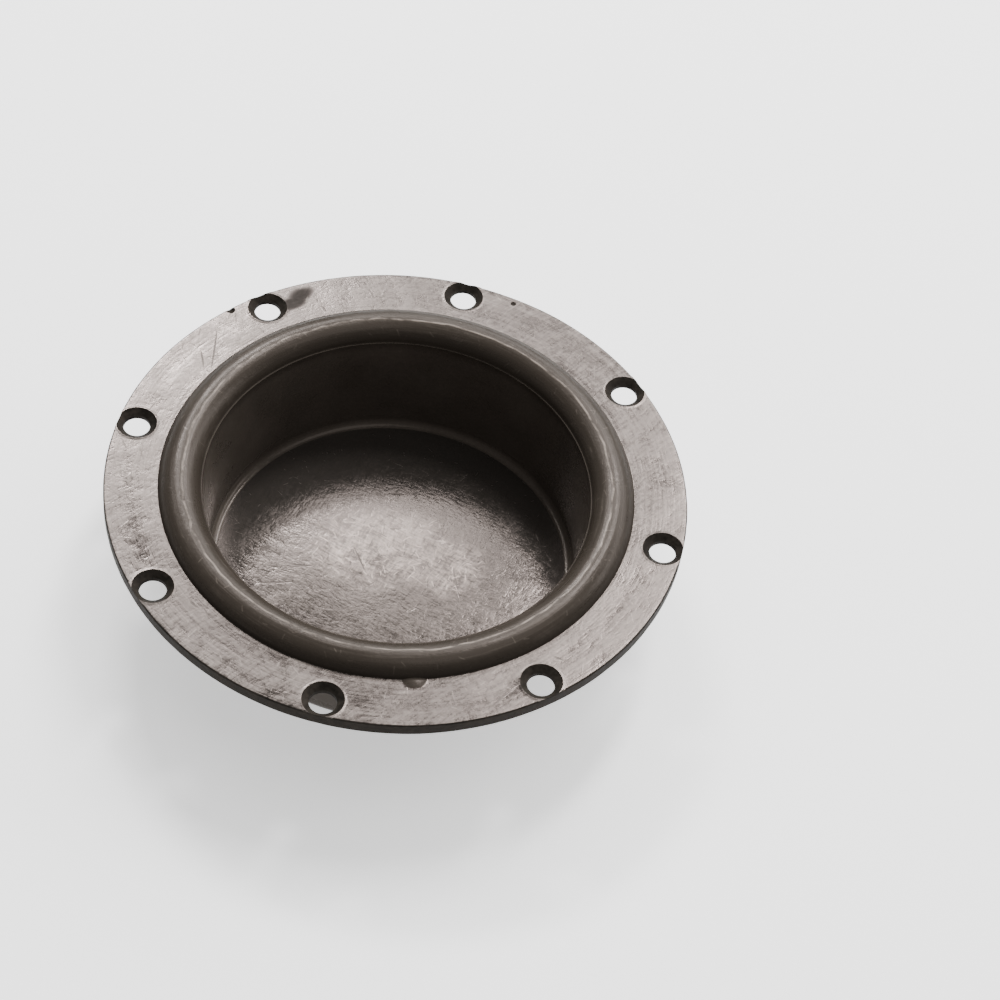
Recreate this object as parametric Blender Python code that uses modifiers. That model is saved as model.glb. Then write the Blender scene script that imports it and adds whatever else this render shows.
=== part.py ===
"""Moulded rubber diaphragm with a flange, a rolled bead and a flat-bottomed cup.

Metres, +Z up. The cup stands on its flat end, which lies on z = 0, and the axis is Z.
Eight bolt holes pierce the flange, the first of them on +X.
"""

from math import asin, cos, pi, radians, sin

import bpy

# Flange
FLANGE_RADIUS = 0.065
FLANGE_THICKNESS = 0.0031
FLANGE_EDGE_ROUND = 0.0004

# Rolled bead between flange and cup, hollow underneath
BEAD_ROLL_RADIUS = 0.005
BEAD_RISE = 0.0032

# Cup
CUP_DEPTH = 0.027
CUP_DRAFT = radians(3.5)
WALL_THICKNESS = 0.0024
FLOOR_THICKNESS = 0.003
FLOOR_FILLET = 0.0018
CUP_EDGE_ROUND = 0.0036

# Sloping ledge that the mould's parting line leaves on the wall, under the bead
LEDGE_DEPTH = 0.0005
LEDGE_WIDTH = 0.00025
LEDGE_DROP = 0.00012

# Bolt holes, each with a sloping recess at both faces of the flange
BOLT_HOLE_COUNT = 8
BOLT_TO_FLANGE_EDGE = 0.0043
BOLT_TO_BEAD_CENTRE = 0.0123
BORE_RADIUS = 0.003
RECESS_RADIUS = 0.0045
RECESS_DEPTH = 0.0011

# Low domed pip at the bead's foot, left by the moulding gate
PIP_RADIUS = 0.00275
PIP_HEIGHT = 0.0004
PIP_UNDER_BEAD = 0.0004
PIP_ANGLE = radians(-71.3)

# Facets of the round stretches, on the bead to each side of its crest
BODY_STEPS = 96
HOLE_STEPS = 24
PIP_STEPS = 24
FILLET_SEGMENTS = 4
BEAD_SEGMENTS = 6
GROOVE_SEGMENTS = 9
EDGE_SEGMENTS = 2
DOME_SEGMENTS = 5

# How far a cutter reaches past the faces that it opens, and a pip below the face that it joins
OVERSHOOT = 0.0005
MERGE_DISTANCE = 0.00001
SHARP_ANGLE = radians(32)

RUBBER_COLOUR = (0.0185, 0.0165, 0.0145, 1.0)
RUBBER_ROUGHNESS = 0.42

# Circles, from the flange's edge inwards
BOLT_CIRCLE_RADIUS = FLANGE_RADIUS - BOLT_TO_FLANGE_EDGE
BEAD_CENTRE_RADIUS = BOLT_CIRCLE_RADIUS - BOLT_TO_BEAD_CENTRE

# Heights
FLANGE_TOP = CUP_DEPTH + FLOOR_THICKNESS
FLANGE_UNDERSIDE = FLANGE_TOP - FLANGE_THICKNESS
BEAD_CENTRE_HEIGHT = FLANGE_TOP + BEAD_RISE - BEAD_ROLL_RADIUS
LEDGE_HEIGHT = FLANGE_TOP - LEDGE_DEPTH

# Where the bead's roll comes down to the flange, as an angle of the roll and as a radius
BEAD_FOOT_ANGLE = asin((FLANGE_TOP - BEAD_CENTRE_HEIGHT) / BEAD_ROLL_RADIUS)
BEAD_FOOT_RADIUS = BEAD_CENTRE_RADIUS + BEAD_ROLL_RADIUS * cos(BEAD_FOOT_ANGLE)


def arc(centre, radius, start, end, segments):
    """Points (r, z) on an arc, from the start angle to the end angle."""
    angles = [start + (end - start) * i / segments for i in range(segments + 1)]
    return [(centre[0] + radius * cos(a), centre[1] + radius * sin(a)) for a in angles]


def beside_wall(wall_point, height, inset):
    """Point at this height that lies the inset away from the drafted wall line, towards the axis."""
    return (wall_point[0] + ((height - wall_point[1]) * sin(CUP_DRAFT) - inset) / cos(CUP_DRAFT), height)


def diaphragm_outline():
    """Half section, from the middle of the cup floor over the bead and round the flange to the cup's end."""
    bead_centre = (BEAD_CENTRE_RADIUS, BEAD_CENTRE_HEIGHT)
    groove_radius = BEAD_ROLL_RADIUS - WALL_THICKNESS

    ledge_angle = pi - asin((LEDGE_HEIGHT - BEAD_CENTRE_HEIGHT) / BEAD_ROLL_RADIUS)
    ledge_outer = arc(bead_centre, BEAD_ROLL_RADIUS, ledge_angle, ledge_angle, 1)[0]
    ledge_inner = (ledge_outer[0] - LEDGE_WIDTH, LEDGE_HEIGHT - LEDGE_DROP)
    fillet_centre = beside_wall(ledge_inner, FLOOR_THICKNESS + FLOOR_FILLET, FLOOR_FILLET)

    groove_end = arc(bead_centre, groove_radius, pi - CUP_DRAFT, pi - CUP_DRAFT, 1)[0]
    edge_centre = beside_wall(groove_end, CUP_EDGE_ROUND, CUP_EDGE_ROUND)
    rim_radius = FLANGE_RADIUS - FLANGE_EDGE_ROUND
    rim_top = (rim_radius, FLANGE_TOP - FLANGE_EDGE_ROUND)
    rim_bottom = (rim_radius, FLANGE_UNDERSIDE + FLANGE_EDGE_ROUND)

    outline = [(0.0, FLOOR_THICKNESS)]
    outline += arc(fillet_centre, FLOOR_FILLET, -pi / 2, -CUP_DRAFT, FILLET_SEGMENTS)
    outline += [ledge_inner]
    outline += arc(bead_centre, BEAD_ROLL_RADIUS, ledge_angle, pi / 2, BEAD_SEGMENTS)
    outline += arc(bead_centre, BEAD_ROLL_RADIUS, pi / 2, BEAD_FOOT_ANGLE, BEAD_SEGMENTS)[1:]
    outline += arc(rim_top, FLANGE_EDGE_ROUND, pi / 2, 0.0, EDGE_SEGMENTS)
    outline += arc(rim_bottom, FLANGE_EDGE_ROUND, 0.0, -pi / 2, EDGE_SEGMENTS)
    outline += [(BEAD_CENTRE_RADIUS + groove_radius, FLANGE_UNDERSIDE)]
    outline += arc(bead_centre, groove_radius, 0.0, pi - CUP_DRAFT, GROOVE_SEGMENTS)
    outline += arc(edge_centre, CUP_EDGE_ROUND, -CUP_DRAFT, -pi / 2, FILLET_SEGMENTS)
    outline += [(0.0, 0.0)]
    return outline


def bolt_hole_outline():
    """Half section of what a bolt hole takes out: a straight bore that opens out to both faces."""
    flare = (RECESS_RADIUS - BORE_RADIUS) / RECESS_DEPTH
    mouth_radius = RECESS_RADIUS + OVERSHOOT * flare
    return [
        (0.0, FLANGE_TOP + OVERSHOOT),
        (mouth_radius, FLANGE_TOP + OVERSHOOT),
        (BORE_RADIUS, FLANGE_TOP - RECESS_DEPTH),
        (BORE_RADIUS, FLANGE_UNDERSIDE + RECESS_DEPTH),
        (mouth_radius, FLANGE_UNDERSIDE - OVERSHOOT),
        (0.0, FLANGE_UNDERSIDE - OVERSHOOT),
    ]


def pip_outline():
    """Half section of the pip, a low dome rooted in the flange."""
    dome_radius = (PIP_RADIUS ** 2 + PIP_HEIGHT ** 2) / (2 * PIP_HEIGHT)
    dome_centre = (0.0, FLANGE_TOP + PIP_HEIGHT - dome_radius)
    foot_angle = pi / 2 - asin(PIP_RADIUS / dome_radius)
    outline = arc(dome_centre, dome_radius, pi / 2, foot_angle, DOME_SEGMENTS)
    outline += [(PIP_RADIUS, FLANGE_TOP - OVERSHOOT), (0.0, FLANGE_TOP - OVERSHOOT)]
    return outline


def turned(name, outline, steps, collection):
    """Object made by turning a half section round the Z axis."""
    mesh = bpy.data.meshes.new(name)
    links = [(i, i + 1) for i in range(len(outline) - 1)]
    mesh.from_pydata([(r, 0.0, z) for r, z in outline], links, [])
    obj = bpy.data.objects.new(name, mesh)
    collection.objects.link(obj)
    turn = obj.modifiers.new("turn", "SCREW")
    turn.axis = "Z"
    turn.steps = steps
    turn.render_steps = steps
    turn.use_merge_vertices = True
    turn.merge_threshold = MERGE_DISTANCE
    return obj


def at_angle(obj, radius, angle):
    """Stand a turned object at this radius and angle round the diaphragm's axis."""
    obj.location = (radius * cos(angle), radius * sin(angle), 0.0)
    obj.rotation_euler = (0.0, 0.0, angle)


def make_cutter(obj):
    obj.hide_render = True
    obj.display_type = "WIRE"


def combine(target, other, operation):
    """Cut the other object out of the target, or join it to the target."""
    step = target.modifiers.new(other.name, "BOOLEAN")
    step.operation = operation
    step.object = other
    step.solver = "EXACT"


def rubber():
    material = bpy.data.materials.new("moulded_black_rubber")
    material.use_nodes = True
    shader = material.node_tree.nodes["Principled BSDF"]
    shader.inputs["Base Color"].default_value = RUBBER_COLOUR
    shader.inputs["Roughness"].default_value = RUBBER_ROUGHNESS
    shader.inputs["Metallic"].default_value = 0.0
    return material


def settle(obj, material):
    """Turn the modifiers' result into the object's own mesh and shade its round stretches smooth."""
    evaluated = obj.evaluated_get(bpy.context.evaluated_depsgraph_get())
    mesh = bpy.data.meshes.new_from_object(evaluated)
    obj.modifiers.clear()
    obj.data = mesh
    mesh.materials.clear()
    mesh.materials.append(material)
    mesh.shade_smooth()
    mesh.set_sharp_from_angle(angle=SHARP_ANGLE)


def build():
    for old in list(bpy.data.objects):
        bpy.data.objects.remove(old, do_unlink=True)
    parts = bpy.data.collections.new("wastegate_diaphragm")
    cutters = bpy.data.collections.new("cutters")
    bpy.context.scene.collection.children.link(parts)
    bpy.context.scene.collection.children.link(cutters)

    diaphragm = turned("diaphragm", diaphragm_outline(), BODY_STEPS, parts)

    pip = turned("gate_pip", pip_outline(), PIP_STEPS, cutters)
    at_angle(pip, BEAD_FOOT_RADIUS - PIP_UNDER_BEAD, PIP_ANGLE)
    make_cutter(pip)
    combine(diaphragm, pip, "UNION")

    for i in range(BOLT_HOLE_COUNT):
        hole = turned(f"bolt_hole_{i + 1}", bolt_hole_outline(), HOLE_STEPS, cutters)
        at_angle(hole, BOLT_CIRCLE_RADIUS, 2 * pi * i / BOLT_HOLE_COUNT)
        make_cutter(hole)
        combine(diaphragm, hole, "DIFFERENCE")

    settle(diaphragm, rubber())


build()
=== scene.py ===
"""Looks of the moulded rubber diaphragm: a finer body, its rubber finishes, a floor, lights and the camera.

Metres, +Z up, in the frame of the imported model. The cup stands on z = 0 and the axis is Z.
"""

from math import asin, atan2, cos, hypot, pi, radians, sin, tan

import bmesh
import bpy
from mathutils import Matrix, Vector, noise


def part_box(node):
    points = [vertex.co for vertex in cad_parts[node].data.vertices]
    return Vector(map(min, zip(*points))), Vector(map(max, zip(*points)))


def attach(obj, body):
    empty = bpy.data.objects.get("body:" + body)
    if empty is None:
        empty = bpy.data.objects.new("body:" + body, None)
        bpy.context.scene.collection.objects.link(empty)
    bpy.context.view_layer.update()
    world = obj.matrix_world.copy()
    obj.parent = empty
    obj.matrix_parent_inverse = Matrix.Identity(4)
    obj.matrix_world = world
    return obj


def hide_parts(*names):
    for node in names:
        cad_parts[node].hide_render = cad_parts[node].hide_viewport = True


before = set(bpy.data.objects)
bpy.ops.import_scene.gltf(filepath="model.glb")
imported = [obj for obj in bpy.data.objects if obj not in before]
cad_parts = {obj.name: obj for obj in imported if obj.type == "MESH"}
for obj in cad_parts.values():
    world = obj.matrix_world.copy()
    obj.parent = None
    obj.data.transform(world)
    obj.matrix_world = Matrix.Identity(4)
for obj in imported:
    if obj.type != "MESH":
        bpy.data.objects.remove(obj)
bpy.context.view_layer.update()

NODE = "diaphragm"
BODY = "root"
MM = 0.001

# The flange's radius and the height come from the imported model, the rest of the section is repeated from it
FLANGE_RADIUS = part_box(NODE)[1].x
BEAD_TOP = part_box(NODE)[1].z
FLANGE_THICKNESS = 3.1 * MM
FLANGE_EDGE_ROUND = 0.4 * MM
BOLT_CIRCLE_RADIUS = FLANGE_RADIUS - 4.3 * MM
BEAD_CENTRE_RADIUS = BOLT_CIRCLE_RADIUS - 12.3 * MM
BEAD_ROLL_RADIUS = 5.0 * MM
BEAD_RISE = 3.2 * MM
WALL_THICKNESS = 2.4 * MM
FLOOR_THICKNESS = 3.0 * MM
FLOOR_CROWN = 0.9 * MM
FLOOR_FILLET = 1.8 * MM
CUP_EDGE_ROUND = 3.6 * MM
CUP_DRAFT = radians(3.5)
LEDGE_DEPTH = 0.5 * MM
LEDGE_WIDTH = 0.25 * MM
LEDGE_DROP = 0.12 * MM

FLANGE_TOP = BEAD_TOP - BEAD_RISE
FLANGE_UNDERSIDE = FLANGE_TOP - FLANGE_THICKNESS
BEAD_CENTRE_HEIGHT = BEAD_TOP - BEAD_ROLL_RADIUS
BEAD_FOOT_ANGLE = asin((FLANGE_TOP - BEAD_CENTRE_HEIGHT) / BEAD_ROLL_RADIUS)
BEAD_FOOT_RADIUS = BEAD_CENTRE_RADIUS + BEAD_ROLL_RADIUS * cos(BEAD_FOOT_ANGLE)

HOLE_COUNT = 8
BORE_RADIUS = 3.0 * MM
RECESS_RADIUS = 4.5 * MM
RECESS_DEPTH = 1.1 * MM
PIP_RADIUS = 2.75 * MM
PIP_HEIGHT = 0.4 * MM
PIP_UNDER_BEAD = 0.4 * MM
PIP_ANGLE = radians(-71.3)

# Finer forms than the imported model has: the soft lip that each recess pushes up, and small dents in the
# flange. The crown of the floor, above, is one of them too.
LIP_HEIGHT = 0.06 * MM
LIP_WIDTH = 0.75 * MM
EDGE_NICK = Vector((-50.8, 39.5, 30.4)) * MM
EDGE_NICK_RADIUS = 1.1 * MM
PIT = Vector((11.8, 62.1, 30.75)) * MM
PIT_RADIUS = 1.0 * MM

# Slight waves of the moulding, each as height, size across and seed, and what trimming took off the edge.
# The flange's waves grow to their full height over the first stretch outside the bead.
FLANGE_WAVES = [(0.10 * MM, 16 * MM, 1.0), (0.03 * MM, 6 * MM, 2.0)]
FLOOR_WAVES = [(0.05 * MM, 14 * MM, 3.0)]
EDGE_TRIM = (0.06 * MM, 3 * MM, 4.0)
WAVES_START = 4 * MM

# Steps of the round stretches, and the angle from which an edge stays sharp
BODY_STEPS = 360
HOLE_STEPS = 64
PIP_STEPS = 48
SHARP_ANGLE = radians(30)

# The photograph's view: the lens sits above the flange's face, turned a little round the axis
VIEW_AZIMUTH = radians(7.78)
VIEW_ELEVATION = radians(50.34)
VIEW_ROLL = radians(7.47)
VIEW_DISTANCE = 9.468 * FLANGE_RADIUS
VIEW_AIM = Vector((0.354 * FLANGE_RADIUS, -0.006 * FLANGE_RADIUS, 0.0))
VIEW_LENS = 99.55
SENSOR_WIDTH = 36

# Order of the piece's finishes
FLANGE_FACE, CUP_FLOOR, DULL, UNDERSIDE, TRIMMED_AND_SHADED = range(5)
# Where the pale crest line runs, which is rubbed wear and a painted highlight, and where the floor's faces
# end
CREST_WEAR_AND_HIGHLIGHT_RADIUS = 47.7 * MM
FLOOR_EDGE_RADIUS = 39.5 * MM

# The upward part of a face's normal from which the face counts as flat, on top and underneath, and how far
# its middle may lie below the flange's top or underside
FACES_UP = 0.93
FACES_DOWN = -0.95
FACE_MARGIN = 0.2 * MM

# The rubber's refraction, and what its sheen is tinted with, where it is rubbed and where it is as moulded
RUBBER_IOR = 1.52
RUBBED_TINT = "FFE9DF"
MOULDED_TINT = "FFEEE4"

# Drops the height of a place
FLAT = (1.0, 1.0, 0.0)

# Single marks on the flange and the floor: where each starts and ends (x, y) and how wide it is, in mm.
FLANGE_SCRATCHES = [
    (-52.2, 33.8, -49.5, 19.9, 0.5), (-53.6, 25.4, -51.2, 20.0, 0.45), (-54.3, -32.2, -54.0, -29.1, 0.5),
    (-53.7, -28.7, -50.1, -29.1, 0.5), (-55.3, -23.3, -54.4, -22.7, 0.6), (-31.1, 47.4, -29.4, 45.9, 0.5),
    (8.8, -62.8, 12.2, -61.8, 0.7), (-34.2, -44.5, -32.3, -45.6, 0.8), (43.9, -35.8, 46.1, -36.2, 0.7),
    (32.5, -55.5, 38.5, -45.0, 0.5), (34.0, -51.5, 38.0, -46.5, 0.4),
]
FLANGE_STAINS = [(-40.0, 44.5, -36.5, 48.5, 4.6), (-38.5, 48.0, -35.5, 51.5, 4.6)]
# Duller patches on the flange: a little rougher, and darker in colour as painted shade where the flange's
# sheen falls off; the first, on the far flange, is partly a painted cast shadow.
FLANGE_DULLED_AND_SHADED = [
    (0.0, 59.0, 26.0, 54.0, 13.0), (-42.0, -40.0, -8.0, -59.0, 16.0), (-10.0, -60.0, 36.0, -52.0, 16.0),
]
FLANGE_SMUDGES = [
    (35.0, -51.0, 39.0, -45.0, 5.0), (-14.0, -62.5, -5.0, -60.5, 3.0), (3.5, -55.5, 9.5, -59.5, 6.0),
    (-54.0, -30.0, -46.0, -37.0, 4.0), (-9.5, -58.5, -9.5, -57.5, 1.5), (-63.0, -9.0, -62.5, -9.0, 1.6),
    (-61.5, -16.0, -61.0, -16.0, 1.4), (-14.5, 55.0, -13.5, 55.0, 1.6),
]
FLANGE_RUBS = [
    (-7.8, -64.5, -2.8, -65.2, 1.6), (-56.0, -22.0, -60.0, -10.0, 3.0), (-58.0, 12.0, -54.0, 26.0, 4.0),
]
FLOOR_SCRATCHES = [
    (-22.2, -8.6, -16.8, -7.8, 0.7), (7.3, -14.1, 9.0, -12.2, 0.8), (-9.3, 0.7, -4.5, -5.9, 0.5),
    (13.7, 2.4, 18.3, -7.7, 0.5), (21.7, -6.7, 27.8, -7.4, 0.8), (-27.9, -15.9, -19.6, -13.3, 0.7),
    (-5.6, 18.5, -2.0, 19.2, 0.8), (-0.4, 21.1, 1.1, 19.2, 0.8),
]
# Pale patches on the floor: rubber that is rubbed pale, and also painted sheen, placed where the floor's
# sheen is brightest.
FLOOR_WEAR_AND_PAINTED_SHEEN = [(-9.0, 1.0, 4.5, 4.0, 30.0), (14.0, 0.0, 14.5, 3.0, 18.0)]
FLOOR_LIGHT_WEAR_AND_PAINTED_SHEEN = [(-16.0, -13.0, 14.0, -16.0, 56.0)]
FLOOR_SMUDGES = [
    (-29.3, -6.2, -27.8, -5.0, 2.2), (7.0, 0.1, 7.6, 0.1, 1.6), (22.0, -13.7, 22.4, -13.7, 1.4),
]
FLOOR_RUBS = [
    (-12.5, -6.5, -10.1, -8.0, 0.8), (-11.8, -3.5, -9.8, -5.2, 0.8), (8.6, 7.9, 11.2, 8.3, 0.8),
]


def arc(centre, radius, start, end, segments):
    """Points (r, z) on an arc, from the start angle to the end angle."""
    angles = [start + (end - start) * i / segments for i in range(segments + 1)]
    return [(centre[0] + radius * cos(a), centre[1] + radius * sin(a)) for a in angles]


def stretch(start, end, segments):
    """Points (r, z) between two points, neither of them among the points."""
    shares = [i / segments for i in range(1, segments)]
    return [tuple(a + (b - a) * share for a, b in zip(start, end)) for share in shares]


def beside_wall(wall_point, height, inset):
    """Point at this height that lies the inset away from the drafted wall line, towards the axis."""
    return (wall_point[0] + ((height - wall_point[1]) * sin(CUP_DRAFT) - inset) / cos(CUP_DRAFT), height)


def body_section():
    """The section's curved stretches, from the cup's floor over the bead and the flange to the cup's end."""
    bead = (BEAD_CENTRE_RADIUS, BEAD_CENTRE_HEIGHT)
    groove_radius = BEAD_ROLL_RADIUS - WALL_THICKNESS
    ledge_height = FLANGE_TOP - LEDGE_DEPTH
    ledge_angle = pi - asin((ledge_height - BEAD_CENTRE_HEIGHT) / BEAD_ROLL_RADIUS)
    ledge_outer = arc(bead, BEAD_ROLL_RADIUS, ledge_angle, ledge_angle, 1)[0]
    ledge_inner = (ledge_outer[0] - LEDGE_WIDTH, ledge_height - LEDGE_DROP)
    fillet = beside_wall(ledge_inner, FLOOR_THICKNESS + FLOOR_FILLET, FLOOR_FILLET)
    groove_end = arc(bead, groove_radius, pi - CUP_DRAFT, pi - CUP_DRAFT, 1)[0]
    edge = beside_wall(groove_end, CUP_EDGE_ROUND, CUP_EDGE_ROUND)
    rim_radius = FLANGE_RADIUS - FLANGE_EDGE_ROUND
    over_bead = arc(bead, BEAD_ROLL_RADIUS, ledge_angle, pi / 2, 20)
    over_bead += arc(bead, BEAD_ROLL_RADIUS, pi / 2, BEAD_FOOT_ANGLE, 20)[1:]
    rim = arc((rim_radius, FLANGE_TOP - FLANGE_EDGE_ROUND), FLANGE_EDGE_ROUND, pi / 2, 0.0, 4)
    rim += arc((rim_radius, FLANGE_UNDERSIDE + FLANGE_EDGE_ROUND), FLANGE_EDGE_ROUND, 0.0, -pi / 2, 4)
    floor_radius = (fillet[0] ** 2 + FLOOR_CROWN ** 2) / (2 * FLOOR_CROWN)
    floor_centre = (0.0, FLOOR_THICKNESS + FLOOR_CROWN - floor_radius)
    floor = arc(floor_centre, floor_radius, pi / 2, pi / 2 - asin(fillet[0] / floor_radius), 31)
    return [
        floor[:1],
        floor[1:-1] + arc(fillet, FLOOR_FILLET, -pi / 2, -CUP_DRAFT, 12),
        [ledge_inner],
        over_bead,
        rim,
        [(BEAD_CENTRE_RADIUS + groove_radius, FLANGE_UNDERSIDE)]
        + arc(bead, groove_radius, 0.0, pi - CUP_DRAFT, 24),
        arc(edge, CUP_EDGE_ROUND, -CUP_DRAFT, -pi / 2, 14),
        [(0.0, 0.0)],
    ]


# How many rows of faces each straight stretch between those gets
STRAIGHT_ROWS = [1, 12, 1, 16, 10, 12, 14]


def body_outline():
    """Whole half section, with its straight stretches divided so that they can be made a little uneven."""
    stretches = body_section()
    outline = list(stretches[0])
    for rows, following in zip(STRAIGHT_ROWS, stretches[1:]):
        outline += stretch(outline[-1], following[0], rows) + following
    return outline


def hole_outline():
    """Half section of a bolt hole's cutter: a bore that opens out to both faces."""
    reach = 0.5 * MM
    flare = (RECESS_RADIUS - BORE_RADIUS) / RECESS_DEPTH
    mouth = RECESS_RADIUS + reach * flare
    return [
        (0.0, FLANGE_TOP + reach),
        (mouth, FLANGE_TOP + reach),
        (BORE_RADIUS, FLANGE_TOP - RECESS_DEPTH),
        (BORE_RADIUS, FLANGE_UNDERSIDE + RECESS_DEPTH),
        (mouth, FLANGE_UNDERSIDE - reach),
        (0.0, FLANGE_UNDERSIDE - reach),
    ]


def lip_outline():
    """Half section of the low swelling round a recess, rooted in the flange."""
    root = FLANGE_TOP - 0.3 * MM
    swell = []
    for i in range(7):
        share = i / 6
        rise = LIP_HEIGHT * (1.1 * cos(pi / 2 * share) ** 2 - 0.1)
        swell.append((RECESS_RADIUS + LIP_WIDTH * share, FLANGE_TOP + rise))
    return [(0.0, FLANGE_TOP + LIP_HEIGHT)] + swell + [(RECESS_RADIUS + LIP_WIDTH, root), (0.0, root)]


def pip_outline():
    """Half section of the gate's pip, a low dome rooted in the flange."""
    dome_radius = (PIP_RADIUS ** 2 + PIP_HEIGHT ** 2) / (2 * PIP_HEIGHT)
    centre = (0.0, FLANGE_TOP + PIP_HEIGHT - dome_radius)
    root = FLANGE_TOP - 0.5 * MM
    dome = arc(centre, dome_radius, pi / 2, pi / 2 - asin(PIP_RADIUS / dome_radius), 10)
    return dome + [(PIP_RADIUS, root), (0.0, root)]


def spun(outline, steps):
    """Closed bmesh made by spinning a half section round the Z axis."""
    bm = bmesh.new()
    verts = [bm.verts.new((r, 0.0, z)) for r, z in outline]
    edges = [bm.edges.new(pair) for pair in zip(verts, verts[1:])]
    bmesh.ops.spin(bm, geom=verts + edges, cent=(0, 0, 0), axis=(0, 0, 1), angle=2 * pi,
                   steps=steps, use_merge=True, use_duplicate=False)
    bmesh.ops.remove_doubles(bm, verts=bm.verts, dist=0.001 * MM)
    bmesh.ops.recalc_face_normals(bm, faces=bm.faces)
    return bm


def settled(name, bm):
    """Mesh object from a bmesh, linked to the scene."""
    mesh = bpy.data.meshes.new(name)
    bm.to_mesh(mesh)
    bm.free()
    obj = bpy.data.objects.new(name, mesh)
    bpy.context.scene.collection.objects.link(obj)
    return obj


def settle_modifiers(obj):
    """Turn the result of the object's modifiers into its own mesh."""
    mesh = bpy.data.meshes.new_from_object(obj.evaluated_get(bpy.context.evaluated_depsgraph_get()))
    obj.modifiers.clear()
    obj.data = mesh


def combine(target, other, operation):
    """Cut the other mesh out of the target, or join it to the target, and remove the other."""
    step = target.modifiers.new("combine", "BOOLEAN")
    step.operation = operation
    step.object = other
    step.solver = "EXACT"
    settle_modifiers(target)
    bpy.data.objects.remove(other)


def unevenness(place, height, size, seed):
    """Smooth hills and hollows of about this height and size across."""
    return height * noise.noise(Vector((place.x / size, place.y / size, seed)))


def make_uneven(verts):
    """The slight waves that a thin moulding keeps in its flange, its floor and its rim."""
    for vert in verts:
        radius = hypot(vert.co.x, vert.co.y)
        if radius > BEAD_FOOT_RADIUS:
            share = min(1.0, (radius - BEAD_FOOT_RADIUS) / WAVES_START)
            vert.co.z += share * sum(unevenness(vert.co, *wave) for wave in FLANGE_WAVES)
        elif radius < FLOOR_EDGE_RADIUS and vert.co.z > 0.5 * FLOOR_THICKNESS:
            vert.co.z += sum(unevenness(vert.co, *wave) for wave in FLOOR_WAVES)
        if radius > FLANGE_RADIUS - 0.1 * MM:
            trim = abs(unevenness(vert.co, *EDGE_TRIM))
            vert.co.x -= trim * vert.co.x / radius
            vert.co.y -= trim * vert.co.y / radius


def finish_of(face):
    """Which of the rubber's finishes a face has."""
    radius = hypot(face.center.x, face.center.y)
    pip = Vector((cos(PIP_ANGLE), sin(PIP_ANGLE))) * (BEAD_FOOT_RADIUS - PIP_UNDER_BEAD)
    if (face.center.xy - pip).length < PIP_RADIUS and face.normal.z > 0:
        return DULL
    if face.normal.z < FACES_DOWN:
        return UNDERSIDE
    if face.normal.z > FACES_UP and radius < FLOOR_EDGE_RADIUS:
        return CUP_FLOOR
    if face.normal.z > FACES_UP and radius > BEAD_FOOT_RADIUS and face.center.z > FLANGE_TOP - FACE_MARGIN:
        return FLANGE_FACE
    in_flange = face.center.z > FLANGE_UNDERSIDE - FACE_MARGIN
    among_holes = radius > BOLT_CIRCLE_RADIUS - 1.1 * RECESS_RADIUS
    return TRIMMED_AND_SHADED if among_holes and in_flange else DULL


def within_rim(obj):
    """Pull what reaches past the flange's edge back to just inside it."""
    limit = FLANGE_RADIUS - 0.05 * MM
    for vert in obj.data.vertices:
        radius = hypot(vert.co.x, vert.co.y)
        if radius > limit:
            vert.co.x *= limit / radius
            vert.co.y *= limit / radius


def joined(name, bms):
    """One mesh object from several bmeshes that don't touch."""
    whole = bmesh.new()
    for bm in bms:
        mesh = bpy.data.meshes.new(name)
        bm.to_mesh(mesh)
        bm.free()
        whole.from_mesh(mesh)
        bpy.data.meshes.remove(mesh)
    return settled(name, whole)


def at_each_hole(outline, steps):
    """Spun outlines at all the bolt holes."""
    places = []
    for i in range(HOLE_COUNT):
        one = spun(outline, steps)
        out = Matrix.Translation((BOLT_CIRCLE_RADIUS, 0, 0))
        place = Matrix.Rotation(2 * pi * i / HOLE_COUNT, 4, "Z") @ out
        bmesh.ops.transform(one, matrix=place, verts=one.verts)
        places.append(one)
    return places


def ball(place, radius):
    """Small ball that cuts a dent."""
    bm = bmesh.new()
    bmesh.ops.create_icosphere(bm, subdivisions=3, radius=radius, matrix=Matrix.Translation(place))
    return bm


def make_body():
    """The whole diaphragm as one mesh, with its finishes."""
    body = settled("rubber_diaphragm", spun(body_outline(), BODY_STEPS))
    pip = spun(pip_outline(), PIP_STEPS)
    place = Matrix.Rotation(PIP_ANGLE, 4, "Z") @ Matrix.Translation((BEAD_FOOT_RADIUS - PIP_UNDER_BEAD, 0, 0))
    bmesh.ops.transform(pip, matrix=place, verts=pip.verts)
    raised = joined("raised", at_each_hole(lip_outline(), HOLE_STEPS) + [pip])
    within_rim(raised)
    combine(body, raised, "UNION")
    dents = [ball(EDGE_NICK, EDGE_NICK_RADIUS), ball(PIT, PIT_RADIUS)]
    combine(body, joined("cut", at_each_hole(hole_outline(), HOLE_STEPS) + dents), "DIFFERENCE")
    make_uneven(body.data.vertices)
    body.data.materials.clear()
    for material in (flange_rubber(), floor_rubber(), dull_rubber(), underside_rubber(), trimmed_and_shaded_rubber()):
        body.data.materials.append(material)
    for face in body.data.polygons:
        face.material_index = finish_of(face)
    body.data.shade_smooth()
    body.data.set_sharp_from_angle(angle=SHARP_ANGLE)
    body.modifiers.new("even_shading", "WEIGHTED_NORMAL").keep_sharp = True
    settle_modifiers(body)
    return body


def linear(hex_colour):
    """Linear RGBA of an sRGB hex colour."""
    channels = [int(hex_colour[i:i + 2], 16) / 255 for i in (0, 2, 4)]
    return [c / 12.92 if c <= 0.04045 else ((c + 0.055) / 1.055) ** 2.4 for c in channels] + [1.0]


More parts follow.
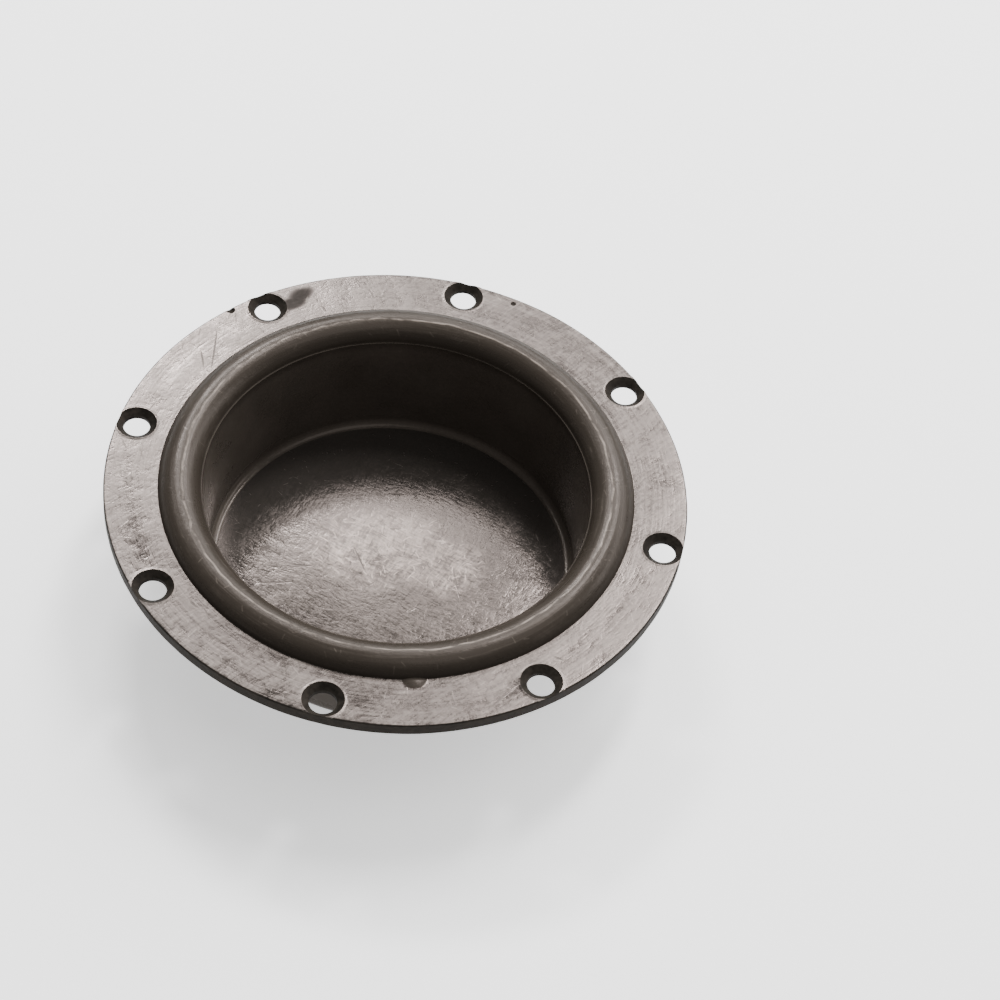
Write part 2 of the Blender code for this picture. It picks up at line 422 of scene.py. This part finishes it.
def add_node(tree, kind, inputs, **settings):
    """Add a node, set it, and fill its inputs with values or with other nodes' results."""
    node = tree.nodes.new(kind)
    for name, value in settings.items():
        setattr(node, name, value)
    for key, value in inputs.items():
        if isinstance(value, bpy.types.NodeSocket):
            tree.links.new(value, node.inputs[key])
        else:
            node.inputs[key].default_value = value
    return node


def new_rubber(name, **constants):
    """Material with a Principled shader, its constant values set on the shader's own sockets."""
    material = bpy.data.materials.new(name)
    material.use_nodes = True
    shader = material.node_tree.nodes["Principled BSDF"]
    for socket, value in constants.items():
        shader.inputs[socket.replace("_", " ")].default_value = value
    return material


def finish_rubber(material, dark, light, paleness, roughness, height):
    """Link the layers to the shader: paleness picks the colour, and the height in metres dents it."""
    tree = material.node_tree
    shader = tree.nodes["Principled BSDF"]
    colour = add_node(tree, "ShaderNodeMix", {0: paleness, 6: linear(dark), 7: linear(light)},
                      data_type="RGBA")
    bump = add_node(tree, "ShaderNodeBump", {"Height": height, "Strength": 1.0, "Distance": 1.0})
    tree.links.new(colour.outputs[2], shader.inputs["Base Color"])
    tree.links.new(roughness, shader.inputs["Roughness"])
    tree.links.new(bump.outputs["Normal"], shader.inputs["Normal"])


def drawn_noise(tree, vector, size, detail, rough):
    """Cloudy noise with blobs about this large, spread over the whole range from 0 to 1."""
    inputs = {"Vector": vector, "Scale": 0.5 / size, "Detail": detail, "Roughness": rough}
    cloud = add_node(tree, "ShaderNodeTexNoise", inputs).outputs["Fac"]
    return add_node(tree, "ShaderNodeMapRange", {"Value": cloud, "From Min": 0.3, "From Max": 0.7}).outputs[0]


def layered(tree, base, *layers):
    """A base value plus each layer times its weight."""
    for layer, weight in layers:
        base = add_node(tree, "ShaderNodeMath", {0: layer, 1: weight, 2: base},
                        operation="MULTIPLY_ADD").outputs[0]
    return base


def swirled(tree, place, size, reach):
    """The place pushed about by slow noise, so that what is drawn on it curls."""
    drift = add_node(tree, "ShaderNodeTexNoise", {"Vector": place, "Scale": 0.5 / size, "Detail": 1.0})
    centred = add_node(tree, "ShaderNodeVectorMath", {0: drift.outputs["Color"], 1: (0.5, 0.5, 0.5)},
                       operation="SUBTRACT")
    return add_node(tree, "ShaderNodeVectorMath", {0: centred.outputs[0], 1: (reach, reach, 0.0), 2: place},
                    operation="MULTIPLY_ADD").outputs[0]


def blotches(tree, place, size, detail=3.0, rough=0.55, shift=0.0):
    """Cloudy blotches about this many metres across."""
    moved = add_node(tree, "ShaderNodeMapping", {"Vector": place, "Location": (shift, 0.7 * shift, 0.0)})
    return drawn_noise(tree, moved.outputs[0], size, detail, rough)


def rub_streaks(tree, place, width, length, turn):
    """Fine streaks left by rubbing in one direction, as wide and as long as given."""
    drawn = add_node(tree, "ShaderNodeMapping", {"Vector": place, "Location": (0.013 * turn, 0.0, 0.0),
                     "Rotation": (0.0, 0.0, radians(turn)), "Scale": (1.0, length / width, 1.0)},
                     vector_type="TEXTURE")
    return drawn_noise(tree, drawn.outputs[0], width, 2.0, 0.6)


def ring_streaks(tree, place, width, length):
    """Fine streaks that run round the axis."""
    flat = add_node(tree, "ShaderNodeVectorMath", {0: place, 1: FLAT}, operation="MULTIPLY").outputs[0]
    radius = add_node(tree, "ShaderNodeVectorMath", {0: flat}, operation="LENGTH").outputs["Value"]
    across = add_node(tree, "ShaderNodeMath", {0: radius, 1: length / width}, operation="MULTIPLY").outputs[0]
    parts = add_node(tree, "ShaderNodeSeparateXYZ", {0: place}).outputs
    drawn = add_node(tree, "ShaderNodeCombineXYZ", {"X": parts["X"], "Y": parts["Y"], "Z": across})
    return drawn_noise(tree, drawn.outputs[0], length, 2.0, 0.6), radius


def short_strokes(tree, place, spacing, width, share, bend, turn):
    """Mask of short random strokes: one in a share of a scatter's cells, each turned and a little bent."""
    sheet = add_node(tree, "ShaderNodeMapping", {"Vector": place, "Rotation": (0.0, 0.0, turn)}).outputs[0]
    cells = add_node(tree, "ShaderNodeTexVoronoi", {"Vector": sheet, "Scale": 1 / spacing},
                     voronoi_dimensions="2D")
    middle = cells.outputs["Position"]
    chance = add_node(tree, "ShaderNodeSeparateColor", {"Color": cells.outputs["Color"]}).outputs
    angle = add_node(tree, "ShaderNodeMath", {0: chance["Red"], 1: 2 * pi}, operation="MULTIPLY").outputs[0]
    turned = add_node(tree, "ShaderNodeVectorRotate", {"Vector": sheet, "Center": middle, "Angle": angle},
                      rotation_type="Z_AXIS").outputs[0]
    offset = add_node(tree, "ShaderNodeVectorMath", {0: turned, 1: middle}, operation="SUBTRACT").outputs[0]
    parts = add_node(tree, "ShaderNodeSeparateXYZ", {0: offset}).outputs
    along = add_node(tree, "ShaderNodeMath", {0: parts["X"]}, operation="ABSOLUTE").outputs[0]
    squared = add_node(tree, "ShaderNodeMath", {0: along, 1: along}, operation="MULTIPLY").outputs[0]
    bent = add_node(tree, "ShaderNodeMath", {0: squared, 1: bend, 2: parts["Y"]},
                    operation="MULTIPLY_ADD").outputs[0]
    across = add_node(tree, "ShaderNodeMath", {0: bent}, operation="ABSOLUTE").outputs[0]
    line = add_node(tree, "ShaderNodeMapRange", {"Value": across, "From Min": width, "From Max": 0.3 * width},
                    interpolation_type="SMOOTHSTEP").outputs[0]
    ends = add_node(tree, "ShaderNodeMapRange", {"Value": along, "From Min": 0.45 * spacing,
                    "From Max": 0.2 * spacing}, interpolation_type="SMOOTHSTEP").outputs[0]
    strength = add_node(tree, "ShaderNodeMapRange", {"Value": chance["Green"], "From Min": share,
                        "From Max": 0.3 * share}).outputs[0]
    shape = add_node(tree, "ShaderNodeMath", {0: line, 1: ends}, operation="MULTIPLY").outputs[0]
    return add_node(tree, "ShaderNodeMath", {0: shape, 1: strength}, operation="MULTIPLY").outputs[0]


def single_marks(tree, place, marks):
    """Mask of marks that each run from one point (x, y) to another with a width, in mm."""
    mask = 0.0
    for x0, y0, x1, y1, width in marks:
        middle = (0.5 * (x0 + x1) * MM, 0.5 * (y0 + y1) * MM, 0.0)
        half_sizes = (0.5 * (hypot(x1 - x0, y1 - y0) + width) * MM, 0.5 * width * MM, 1.0)
        near = add_node(tree, "ShaderNodeMapping", {"Vector": place, "Location": middle, "Scale": half_sizes,
                        "Rotation": (0.0, 0.0, atan2(y1 - y0, x1 - x0))}, vector_type="TEXTURE")
        spot = add_node(tree, "ShaderNodeTexGradient", {"Vector": near.outputs[0]}, gradient_type="SPHERICAL")
        both = add_node(tree, "ShaderNodeMath", {0: spot.outputs["Fac"], 1: mask}, operation="MAXIMUM")
        mask = both.outputs[0]
    return add_node(tree, "ShaderNodeMapRange", {"Value": mask, "From Max": 0.6},
                    interpolation_type="SMOOTHSTEP").outputs[0]


def rubbed_layers(tree, curl, shift):
    """What flange and floor share: the place, curled places, mottle and strokes of several sizes.

    Real rubbing leaves marks finer than a pixel of the render. The streaks and strokes here and in each
    finish below are drawn 0.18 to 0.35 mm wide, as coarse as they need to be to show.
    """
    place = add_node(tree, "ShaderNodeTexCoord", {}).outputs["Object"]
    curled = swirled(tree, place, 5 * MM, curl)
    return {
        "place": place,
        "curled": curled,
        "blotch": blotches(tree, place, 7 * MM, detail=2.0, shift=shift),
        "patch": blotches(tree, curled, 1.9 * MM, detail=3.0, shift=shift + 0.1),
        "mottle": blotches(tree, curled, 0.45 * MM, detail=2.0, rough=0.6, shift=shift + 0.3),
        "long_cuts": short_strokes(tree, curled, 4.2 * MM, 0.20 * MM, 0.40, 40, 0.3 + shift),
        "short_cuts": short_strokes(tree, curled, 2.1 * MM, 0.19 * MM, 0.45, 130, 1.7 + shift),
        "long_hairs": short_strokes(tree, curled, 3.6 * MM, 0.18 * MM, 0.45, 60, 2.6 + shift),
        "short_hairs": short_strokes(tree, curled, 1.8 * MM, 0.18 * MM, 0.5, 150, 0.9 + shift),
    }


def flange_rubber():
    """Black nitrile rubber, compression moulded and then rubbed: a grey satin sheen full of fine streaks."""
    material = new_rubber("rubbed_moulded_rubber", IOR=RUBBER_IOR, Specular_Tint=linear(RUBBED_TINT))
    tree = material.node_tree
    layer = rubbed_layers(tree, 3.0 * MM, 0.0)
    place = layer["place"]
    rings, _ = ring_streaks(tree, place, 0.32 * MM, 6 * MM)
    streaks = rub_streaks(tree, layer["curled"], 0.30 * MM, 3.5 * MM, -35)
    crossing = rub_streaks(tree, layer["curled"], 0.28 * MM, 2.4 * MM, 40)
    bands, _ = ring_streaks(tree, layer["curled"], 1.3 * MM, 18 * MM)
    scratches = single_marks(tree, place, FLANGE_SCRATCHES)
    smudges = single_marks(tree, layer["curled"], FLANGE_SMUDGES)
    stains = single_marks(tree, layer["curled"], FLANGE_STAINS)
    # Painted shade: these patches darken the flange's colour where its sheen falls off, and stand in partly
    # for a cast shadow on the far flange.
    dulled_and_shaded = single_marks(tree, layer["curled"], FLANGE_DULLED_AND_SHADED)
    rubs = single_marks(tree, layer["curled"], FLANGE_RUBS)
    height = layered(tree, 0.0, (layer["blotch"], 0.04 * MM), (layer["patch"], 0.026 * MM),
                     (layer["mottle"], 0.009 * MM), (rings, 0.012 * MM), (streaks, 0.007 * MM),
                     (crossing, 0.002 * MM), (layer["long_cuts"], -0.010 * MM),
                     (layer["short_cuts"], -0.005 * MM), (layer["long_hairs"], 0.007 * MM),
                     (scratches, -0.03 * MM))
    rough = layered(tree, 0.035, (layer["blotch"], 0.07), (bands, 0.07), (layer["patch"], 0.09),
                    (layer["mottle"], 0.08), (rings, 0.05), (streaks, 0.07), (crossing, 0.03),
                    (layer["long_cuts"], 0.12), (layer["short_cuts"], 0.08), (layer["long_hairs"], -0.05),
                    (scratches, 0.25), (smudges, -0.06), (stains, 0.6), (dulled_and_shaded, 0.03), (rubs, -0.06))
    pale = layered(tree, -0.62, (layer["blotch"], 0.15), (bands, 0.25), (layer["patch"], 0.28),
                   (layer["mottle"], 0.28), (rings, 0.32), (streaks, 0.38), (crossing, 0.05),
                   (layer["long_hairs"], 0.4), (layer["short_hairs"], 0.35), (layer["short_cuts"], -0.2),
                   (smudges, -0.2), (stains, -0.6), (dulled_and_shaded, -0.10), (rubs, 0.2))
    finish_rubber(material, "1F1D1B", "746E68", pale, rough, height)
    return material


def floor_rubber():
    """The same rubber on the cup's floor: satin, rubbed in all directions, and pale in the middle from wear
    and from painted sheen.
    """
    material = new_rubber("polished_moulded_rubber", IOR=RUBBER_IOR, Specular_Tint=linear(RUBBED_TINT))
    tree = material.node_tree
    layer = rubbed_layers(tree, 3.0 * MM, 0.6)
    place = layer["place"]
    rings, _ = ring_streaks(tree, place, 0.35 * MM, 4 * MM)
    scratches = single_marks(tree, place, FLOOR_SCRATCHES)
    smudges = single_marks(tree, place, FLOOR_SMUDGES)
    rubs = single_marks(tree, place, FLOOR_RUBS)
    streaks = rub_streaks(tree, layer["curled"], 0.26 * MM, 2.2 * MM, 75)
    crossing = rub_streaks(tree, layer["curled"], 0.26 * MM, 2.2 * MM, -14)
    wear_and_painted_sheen = single_marks(tree, layer["curled"], FLOOR_WEAR_AND_PAINTED_SHEEN)
    light_wear_and_painted_sheen = single_marks(tree, place, FLOOR_LIGHT_WEAR_AND_PAINTED_SHEEN)
    height = layered(tree, 0.0, (layer["blotch"], 0.03 * MM), (layer["patch"], 0.024 * MM),
                     (layer["mottle"], 0.012 * MM), (rings, 0.003 * MM), (streaks, 0.007 * MM),
                     (crossing, 0.007 * MM), (layer["long_cuts"], -0.006 * MM),
                     (layer["short_cuts"], -0.003 * MM), (scratches, -0.03 * MM))
    rough = layered(tree, 0.03, (wear_and_painted_sheen, -0.02), (layer["blotch"], 0.03), (layer["patch"], 0.06),
                    (layer["mottle"], 0.08), (streaks, 0.06), (crossing, 0.06), (layer["long_cuts"], 0.12),
                    (layer["short_cuts"], 0.10), (scratches, 0.3), (smudges, 0.25), (rubs, -0.06))
    scuffed = layered(tree, -0.85, (layer["blotch"], 0.4), (layer["patch"], 0.6), (layer["mottle"], 0.6),
                      (streaks, 0.6), (crossing, 0.5), (layer["long_hairs"], 1.3),
                      (layer["short_hairs"], 1.2), (layer["long_cuts"], -1.0), (layer["short_cuts"], -0.8),
                      (smudges, -0.6), (scratches, -1.2), (rubs, 1.0))
    # The pale middle of the floor is wear and painted sheen together.
    rubbed = layered(tree, 0.0, (wear_and_painted_sheen, 0.85), (light_wear_and_painted_sheen, 0.10))
    pale = add_node(tree, "ShaderNodeMath", {0: scuffed, 1: rubbed}, operation="MULTIPLY").outputs[0]
    finish_rubber(material, "2E2B28", "AA9D95", pale, rough, height)
    return material


def dull_rubber():
    """The same rubber as moulded: brownish black, with a dull broad sheen, pale along the crest from rubbing
    and from a painted highlight, and painted paler below the flange's face as fill light.
    """
    material = new_rubber("dull_moulded_rubber", IOR=RUBBER_IOR, Specular_IOR_Level=0.15,
                          Specular_Tint=linear(MOULDED_TINT))
    tree = material.node_tree
    place = add_node(tree, "ShaderNodeTexCoord", {}).outputs["Object"]
    rings, radius = ring_streaks(tree, place, 0.30 * MM, 9 * MM)
    wide = blotches(tree, place, 6 * MM, detail=2.0)
    mottle = blotches(tree, place, 0.5 * MM, detail=3.0, shift=0.2)
    broken = blotches(tree, place, 1.6 * MM, detail=2.0, shift=0.5)
    flecks = short_strokes(tree, place, 2.2 * MM, 0.20 * MM, 0.35, 60, 0.4)
    # The pale line along the crest: rubbed wear, and also a painted highlight where the bead's sheen falls,
    # stronger towards the bead's top.
    waved = add_node(tree, "ShaderNodeVectorMath", {0: swirled(tree, place, 3 * MM, 1.2 * MM), 1: FLAT},
                     operation="MULTIPLY").outputs[0]
    waved_radius = add_node(tree, "ShaderNodeVectorMath", {0: waved}, operation="LENGTH").outputs["Value"]
    off_crest = add_node(tree, "ShaderNodeMath", {0: waved_radius, 1: CREST_WEAR_AND_HIGHLIGHT_RADIUS},
                         operation="SUBTRACT").outputs[0]
    apart = add_node(tree, "ShaderNodeMath", {0: off_crest}, operation="ABSOLUTE").outputs[0]
    crest = add_node(tree, "ShaderNodeMapRange", {"Value": apart, "From Min": 0.36 * MM,
                     "From Max": 0.05 * MM}, interpolation_type="SMOOTHSTEP").outputs[0]
    height_above = add_node(tree, "ShaderNodeSeparateXYZ", {0: place}).outputs["Z"]
    upper = add_node(tree, "ShaderNodeMapRange", {"Value": height_above, "From Min": FLANGE_TOP,
                     "From Max": BEAD_TOP}).outputs[0]
    line = add_node(tree, "ShaderNodeMath", {0: crest, 1: broken}, operation="MULTIPLY").outputs[0]
    marks = layered(tree, -0.12, (line, 1.3), (flecks, 0.25), (rings, 0.20))
    wear_and_painted_sheen = add_node(tree, "ShaderNodeMath", {0: marks, 1: upper}, operation="MULTIPLY").outputs[0]
    ledge = add_node(tree, "ShaderNodeMath", {0: height_above, 1: FLANGE_TOP - 0.55 * MM, 2: 0.35 * MM},
                     operation="COMPARE").outputs[0]
    # Painted fill light: the rubber is paler from the flange's face down to 3 mm below it and beyond, so that
    # the walls inside the cup read lighter.
    inside = add_node(tree, "ShaderNodeMapRange", {"Value": height_above, "From Min": FLANGE_TOP,
                      "From Max": FLANGE_TOP - 3 * MM}).outputs[0]
    fillet_top = FLOOR_THICKNESS + FLOOR_FILLET
    fillet = add_node(tree, "ShaderNodeMapRange", {"Value": height_above,
                      "From Min": fillet_top + FLOOR_FILLET, "From Max": fillet_top}).outputs[0]
    # A thin dark line where the bead's foot meets the flange: painted shade in the crease, and rougher there.
    off_foot = add_node(tree, "ShaderNodeMath", {0: radius, 1: BEAD_FOOT_RADIUS},
                        operation="SUBTRACT").outputs[0]
    from_foot = add_node(tree, "ShaderNodeMath", {0: off_foot}, operation="ABSOLUTE").outputs[0]
    painted_foot_shade = add_node(tree, "ShaderNodeMapRange", {"Value": from_foot, "From Min": 0.55 * MM,
                    "From Max": 0.15 * MM}, interpolation_type="SMOOTHSTEP").outputs[0]
    height = layered(tree, 0.0, (rings, 0.014 * MM), (mottle, 0.014 * MM), (wide, 0.04 * MM),
                     (line, 0.03 * MM))
    rough = layered(tree, 0.19, (wide, 0.08), (rings, 0.12), (mottle, 0.06), (wear_and_painted_sheen, -0.05), (ledge, 0.48),
                    (fillet, -0.10), (painted_foot_shade, 0.5))
    pale = layered(tree, -0.10, (wide, 0.10), (rings, 0.04), (mottle, 0.04), (wear_and_painted_sheen, 1.0), (inside, 0.20),
                   (painted_foot_shade, -0.3))
    finish_rubber(material, "2F2A25", "766D65", pale, rough, height)
    return material


def underside_rubber():
    """Rubber against the mould's turned face: matte, with faint rings."""
    material = new_rubber("ringed_moulded_rubber", IOR=RUBBER_IOR, Specular_IOR_Level=0.3,
                          Specular_Tint=linear(MOULDED_TINT))
    tree = material.node_tree
    place = add_node(tree, "ShaderNodeTexCoord", {}).outputs["Object"]
    rings, _ = ring_streaks(tree, place, 0.35 * MM, 30 * MM)
    wide = blotches(tree, swirled(tree, place, 9 * MM, 6 * MM), 6 * MM)
    fine = blotches(tree, place, 0.5 * MM, shift=0.4)
    height = layered(tree, 0.0, (rings, 0.010 * MM), (fine, 0.007 * MM))
    rough = layered(tree, 0.36, (wide, 0.10), (rings, 0.08))
    pale = layered(tree, -0.1, (wide, 0.3), (rings, 0.25), (fine, 0.12))
    finish_rubber(material, "211D1A", "433C37", pale, rough, height)
    return material


def trimmed_and_shaded_rubber():
    """Rubber where flash was trimmed and where the recesses are: matte and a little torn, its near black
    colour partly painted shade on the rim and in the recesses.
    """
    material = new_rubber("trimmed_and_shaded_rubber_edge", IOR=RUBBER_IOR, Specular_IOR_Level=0.06,
                          Specular_Tint=linear(MOULDED_TINT))
    tree = material.node_tree
    place = add_node(tree, "ShaderNodeTexCoord", {}).outputs["Object"]
    torn = blotches(tree, place, 1.2 * MM, detail=3.0)
    grain = blotches(tree, place, 0.4 * MM, detail=2.0, shift=0.3)
    height = layered(tree, 0.0, (torn, 0.06 * MM), (grain, 0.02 * MM))
    rough = layered(tree, 0.45, (torn, 0.15), (grain, 0.1))
    pale = layered(tree, -0.2, (torn, 0.5), (grain, 0.3))
    # Near black colour: partly painted shade on the flange's rim and in the recesses.
    finish_rubber(material, "1A1815", "37322D", pale, rough, height)
    return material


def make_floor():
    """Plain pale floor, which glows a little so that it stays even around the part."""
    bpy.ops.mesh.primitive_plane_add(size=6)
    floor = bpy.context.object
    floor.name = "floor"
    material = bpy.data.materials.new("pale_studio_floor")
    material.use_nodes = True
    shader = material.node_tree.nodes["Principled BSDF"]
    shader.inputs["Base Color"].default_value = linear("F2F2F2")
    shader.inputs["Roughness"].default_value = 0.9
    shader.inputs["Specular IOR Level"].default_value = 0.0
    shader.inputs["Emission Color"].default_value = linear("FFFFFF")
    shader.inputs["Emission Strength"].default_value = 0.8
    floor.data.materials.append(material)


def make_camera():
    """Camera at the photograph's view, placed from the middle of the flange's face."""
    data = bpy.data.cameras.new("camera")
    data.lens = VIEW_LENS
    data.sensor_width = SENSOR_WIDTH
    data.clip_end = 20
    camera = bpy.data.objects.new("camera", data)
    bpy.context.scene.collection.objects.link(camera)
    lift = Matrix.Translation((0, 0, FLANGE_TOP))
    turn = Matrix.Rotation(VIEW_AZIMUTH, 4, "Z")
    aim = Matrix.Translation(VIEW_AIM)
    tilt = Matrix.Rotation(pi / 2 - VIEW_ELEVATION, 4, "X")
    back = Matrix.Translation((0, 0, VIEW_DISTANCE))
    roll = Matrix.Rotation(VIEW_ROLL, 4, "Z")
    camera.matrix_world = lift @ turn @ aim @ tilt @ back @ roll
    bpy.context.scene.camera = camera


def add_soft_box(name, azimuth, elevation, half_wide, half_high, radiance, distance=1.4):
    """Soft box that faces the part, placed and sized by angles. Azimuth 0 is straight behind the part."""
    data = bpy.data.lights.new(name, "AREA")
    data.shape = "RECTANGLE"
    data.size = 2 * distance * tan(radians(half_wide))
    data.size_y = 2 * distance * tan(radians(half_high))
    data.energy = radiance * pi * data.size * data.size_y
    light = bpy.data.objects.new(name, data)
    bpy.context.scene.collection.objects.link(light)
    lift = Matrix.Translation((0, 0, FLANGE_TOP))
    turn = Matrix.Rotation(VIEW_AZIMUTH - radians(azimuth), 4, "Z")
    tilt = Matrix.Rotation(radians(elevation - 90), 4, "X")
    light.matrix_world = lift @ turn @ tilt @ Matrix.Translation((0, 0, distance))


def make_lights():
    """Soft boxes behind and beside the part, whose sheen the flat rubber mirrors, and an even grey room."""
    add_soft_box("left_box", -19.5, 42.5, 7, 3.5, 88)
    add_soft_box("middle_box", -3.5, 49, 5.5, 5, 10)
    add_soft_box("upper_right_box", 21, 54, 4.5, 12, 50)
    add_soft_box("low_wide_box", 36.5, 31, 38, 8.5, 7.7)
    add_soft_box("dim_left_box", -47, 43, 9, 6, 6.5)
    add_soft_box("right_fill", 110, 70, 19, 17, 2)
    world = bpy.data.worlds.new("studio")
    bpy.context.scene.world = world
    world.use_nodes = True
    background = world.node_tree.nodes["Background"]
    background.inputs["Color"].default_value = (1, 1, 1, 1)
    background.inputs["Strength"].default_value = 0.35


make_camera()
body = make_body()
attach(body, BODY)
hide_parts(NODE)
make_floor()
make_lights()
